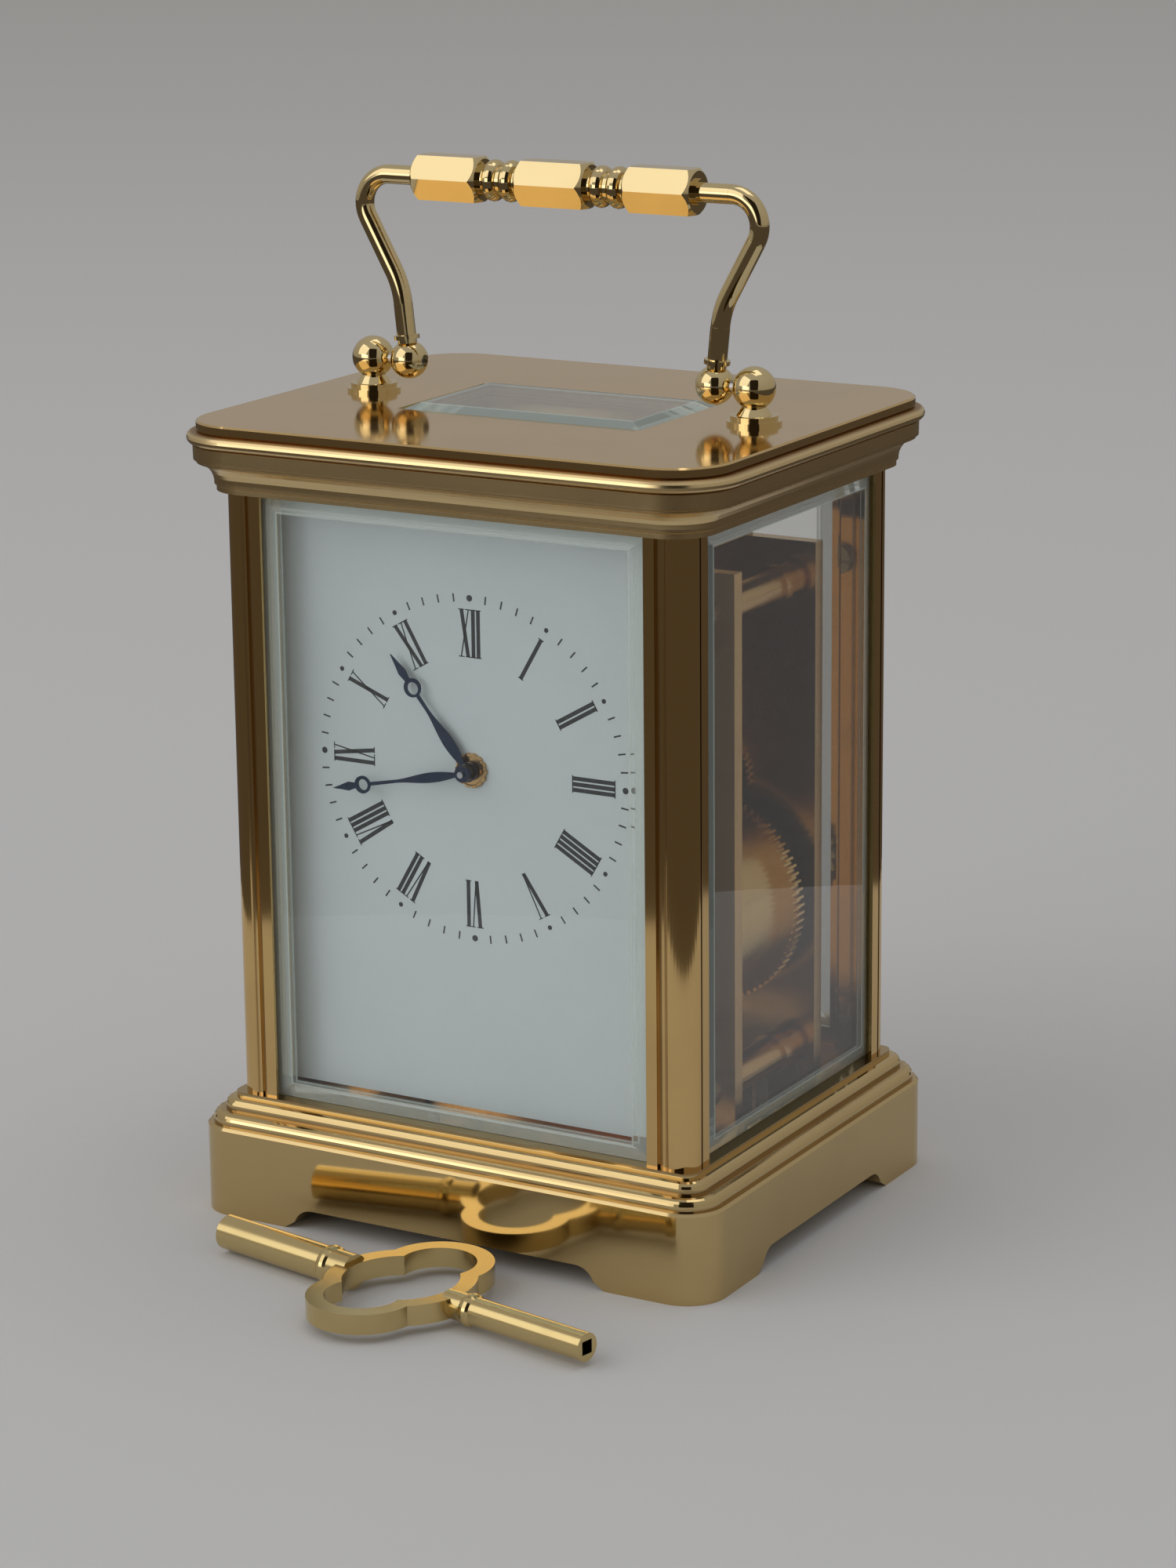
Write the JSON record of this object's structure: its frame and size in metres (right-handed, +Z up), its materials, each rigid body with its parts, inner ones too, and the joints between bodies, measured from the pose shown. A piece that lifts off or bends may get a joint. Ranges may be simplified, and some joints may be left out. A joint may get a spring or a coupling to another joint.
{
  "type": "carriage clock",
  "caption": "Brass carriage clock with bevelled glass panels, white dial, folding handle, hinged rear door, visible spring-driven movement with lever platform, and a loose double-ended key.",
  "frame": {"origin": "centre of the base's footprint on the surface it stands on", "axes": "+Z up, the dial faces -Y, +X to the right seen from the front"},
  "size_m": [0.0848, 0.1041, 0.1478],
  "materials": {
    "satin_brass": "satin, fine brushed",
    "polished_brass": "polished, lightly tarnished in the grooves",
    "aged_brass": "aged",
    "movement_brass": "aged, slightly copper-brown",
    "gilt": "gilt, frosted",
    "key_brass": "worn satin",
    "panel_glass": "clear, faintly green, bevelled",
    "dial_enamel": "white enamel",
    "blued_steel": "blued steel",
    "steel": "fine satin",
    "steel_screws": "turned, slotted",
    "spring_steel": "oiled"
  },
  "bodies": {
    "case": {"base": "satin_brass", "base_screws": "steel_screws", "pillar_front_left": "polished_brass", "pillar_front_right": "polished_brass", "pillar_rear_left": "polished_brass", "pillar_rear_right": "polished_brass", "cornice": "polished_brass", "cornice_screws": "steel_screws", "top_plate": "satin_brass", "top_glass": "panel_glass", "front_glass": "panel_glass", "left_glass": "panel_glass", "right_glass": "panel_glass", "handle_post_left": "polished_brass", "handle_post_right": "polished_brass", "handle_post_nuts": "steel_screws", "handle_pins": "steel", "dial": "dial_enamel", "dial_bush": "aged_brass", "dial_feet": "aged_brass", "front_plate": "movement_brass", "rear_plate": "movement_brass", "movement_pillars": "movement_brass", "pillar_screws": "steel_screws", "movement_screws": "steel_screws", "click_spring": "blued_steel", "platform": "gilt", "platform_screws": "blued_steel", "potence": "gilt", "escape_bridge": "gilt", "balance_cock": "gilt"},
    "handle": {"handle_arm_left": "polished_brass", "handle_arm_right": "polished_brass", "handle_grip": "polished_brass"},
    "door": {"door_frame": "polished_brass", "door_glass": "panel_glass", "door_knob": "polished_brass", "door_pins": "steel"},
    "minute_works": {"minute_hand": "blued_steel", "cannon_pinion": "steel", "centre_arbor": "steel"},
    "motion_wheel": {"minute_wheel": "movement_brass"},
    "hour_works": {"hour_wheel": "movement_brass", "hour_hand": "blued_steel"},
    "barrel": {"barrel": "movement_brass", "barrel_cover": "movement_brass", "mainspring": "spring_steel"},
    "winding_arbor": {"barrel_arbor": "steel", "ratchet_wheel": "steel"},
    "click": {"click": "steel"},
    "intermediate": {"intermediate_wheel": "movement_brass"},
    "centre": {"centre_wheel": "movement_brass"},
    "third": {"third_wheel": "movement_brass"},
    "contrate": {"contrate_wheel": "movement_brass"},
    "escape": {"escape_wheel": "gilt"},
    "lever": {"lever": "steel"},
    "balance": {"balance_wheel": "gilt", "hairspring": "blued_steel"},
    "regulator": {"regulator": "steel"},
    "key": {"key": "key_brass"}
  },
  "joints": [
    {"name": "handle_fold", "type": "hinge", "parent": "case", "child": "handle", "pos_m": [0, 0, 0.1188], "axis": [1, 0, 0], "range_deg": [-92, 92]},
    {"name": "door_swing", "type": "hinge", "parent": "case", "child": "door", "pos_m": [0.0283, 0.0288, 0.0607], "axis": [0, 0, -1], "range_deg": [0, 95]},
    {"name": "hand_setting", "type": "hinge", "parent": "case", "child": "minute_works", "pos_m": [0, 0, 0.0676], "axis": [0, 1, 0], "continuous": true},
    {"name": "minute_wheel_turn", "type": "hinge", "parent": "case", "child": "motion_wheel", "pos_m": [-0.00424, -0.012, 0.06336], "axis": [0, 1, 0], "continuous": true},
    {"name": "hour_works_turn", "type": "hinge", "parent": "case", "child": "hour_works", "pos_m": [0, -0.02, 0.0676], "axis": [0, 1, 0], "continuous": true},
    {"name": "contrate_turn", "type": "hinge", "parent": "case", "child": "contrate", "pos_m": [-0.008, 0.004, 0.0795], "axis": [0, 1, 0], "continuous": true},
    {"name": "third_wheel_turn", "type": "hinge", "parent": "case", "child": "third", "pos_m": [-0.0119, 0.004, 0.07007], "axis": [0, 1, 0], "continuous": true},
    {"name": "centre_wheel_turn", "type": "hinge", "parent": "case", "child": "centre", "pos_m": [0, 0.008, 0.0676], "axis": [0, 1, 0], "continuous": true},
    {"name": "intermediate_wheel_turn", "type": "hinge", "parent": "case", "child": "intermediate", "pos_m": [0.00903, 0.008, 0.05881], "axis": [0, 1, 0], "continuous": true},
    {"name": "barrel_turn", "type": "hinge", "parent": "case", "child": "barrel", "pos_m": [0.016, 0.002, 0.043], "axis": [0, 1, 0], "continuous": true},
    {"name": "escape_wheel_turn", "type": "hinge", "parent": "case", "child": "escape", "pos_m": [-0.008, 0.00675, 0.092], "axis": [0, 0, 1], "continuous": true},
    {"name": "winding_turn", "type": "hinge", "parent": "case", "child": "winding_arbor", "pos_m": [0.016, 0.02, 0.043], "axis": [0, 1, 0], "continuous": true},
    {"name": "click_lift", "type": "hinge", "parent": "case", "child": "click", "pos_m": [0.0074, 0.018, 0.0526], "axis": [0, 1, 0], "range_deg": [0, 12], "deforming": ["click_spring"]},
    {"name": "lever_rock", "type": "hinge", "parent": "case", "child": "lever", "pos_m": [-0.00293, 0.00438, 0.0974], "axis": [0, 0, 1], "range_deg": [-6, 6]},
    {"name": "balance_swing", "type": "hinge", "parent": "case", "child": "balance", "pos_m": [0.00387, 0.00121, 0.0997], "axis": [0, 0, 1], "range_deg": [-135, 135]},
    {"name": "regulator_turn", "type": "hinge", "parent": "case", "child": "regulator", "pos_m": [0.00387, 0.00121, 0.1037], "axis": [0, 0, 1], "range_deg": [-25, 25]},
    {"name": "key_lift", "type": "slide", "parent": "case", "child": "key", "axis": [0, 0, 1], "range_m": [0, 0.08]}
  ],
  "couplings": [
    {"joint": "minute_wheel_turn", "follows": "hand_setting", "ratio": -0.33333},
    {"joint": "hour_works_turn", "follows": "hand_setting", "ratio": 0.083333},
    {"joint": "third_wheel_turn", "follows": "contrate_turn", "ratio": -0.13333},
    {"joint": "centre_wheel_turn", "follows": "contrate_turn", "ratio": 0.016667},
    {"joint": "intermediate_wheel_turn", "follows": "contrate_turn", "ratio": -0.0027778},
    {"joint": "barrel_turn", "follows": "contrate_turn", "ratio": 0.00039683},
    {"joint": "escape_wheel_turn", "follows": "contrate_turn", "ratio": -10}
  ]
}
